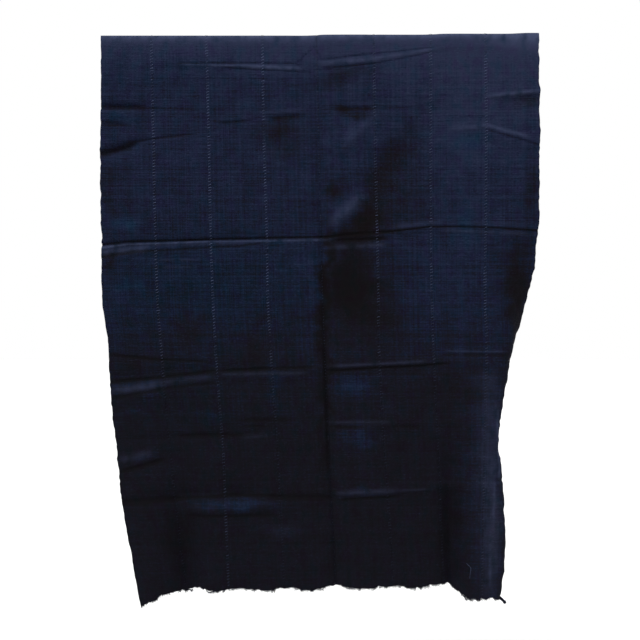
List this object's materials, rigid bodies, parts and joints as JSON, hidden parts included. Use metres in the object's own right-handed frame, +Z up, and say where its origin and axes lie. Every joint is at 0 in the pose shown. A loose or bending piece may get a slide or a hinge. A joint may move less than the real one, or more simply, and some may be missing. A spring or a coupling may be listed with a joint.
{
  "type": "hung strip-woven indigo cloth",
  "caption": "Plain dark indigo hand-woven cloth of strips sewn edge to edge, hung over a line, creased, with a ragged raw lower end and one side turned back.",
  "frame": {"origin": "middle of the line on which the cloth rests, under its turned-over top edge", "axes": "+Z up, the face of the cloth looks along -Y, X runs along the hanging edge with +X to the viewer's right"},
  "size_m": [1.0713, 0.1381, 1.4045],
  "materials": {
    "indigo_cotton": "matte hand-spun cotton, dyed deep indigo",
    "sewing_thread": "matte cotton thread, paler blue"
  },
  "bodies": {
    "root": {"strip_1": "indigo_cotton", "strip_2": "indigo_cotton", "strip_3": "indigo_cotton", "strip_4": "indigo_cotton", "strip_5": "indigo_cotton", "strip_6": "indigo_cotton", "strip_7": "indigo_cotton", "strip_8": "indigo_cotton"}
  },
  "joints": []
}
